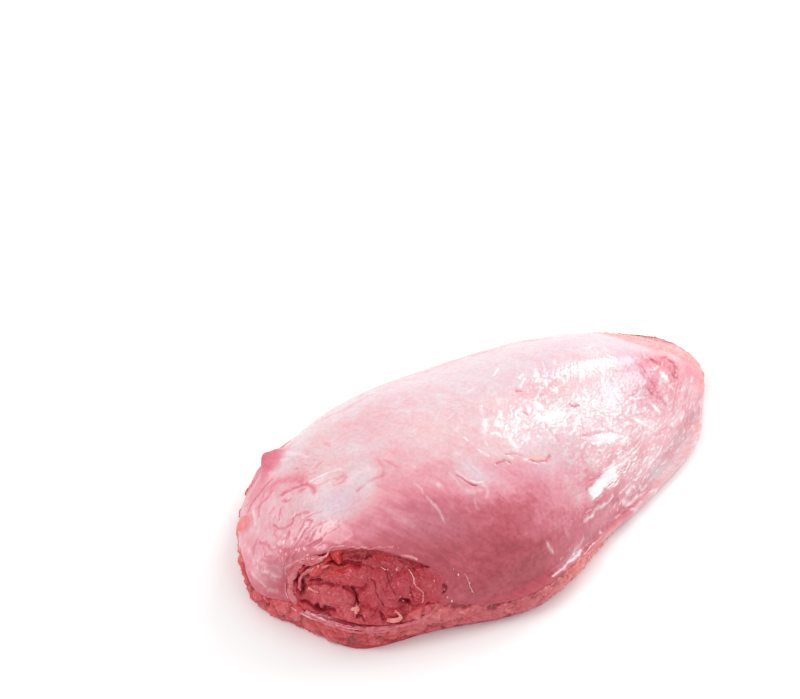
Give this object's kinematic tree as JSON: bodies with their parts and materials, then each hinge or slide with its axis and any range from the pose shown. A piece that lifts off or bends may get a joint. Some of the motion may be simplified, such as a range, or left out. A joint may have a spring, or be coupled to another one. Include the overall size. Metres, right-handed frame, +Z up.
{
  "type": "pork cheek",
  "caption": "Raw trimmed pork cheek: an oblong domed muscle under silverskin, with a coarse cut edge and a torn hollow at one end.",
  "frame": {"origin": "centre of the cheek's footprint, on the surface that its flat cut side rests on", "axes": "+X along the cheek to its thin end, +Z up out of the dome, so that the torn hollow is on the -X, -Y side"},
  "size_m": [0.125, 0.07, 0.031],
  "materials": {
    "cheek": "gloss",
    "muscle": "satin",
    "fat": "satin"
  },
  "bodies": {
    "root": {"pork_cheek": "cheek"}
  },
  "joints": []
}
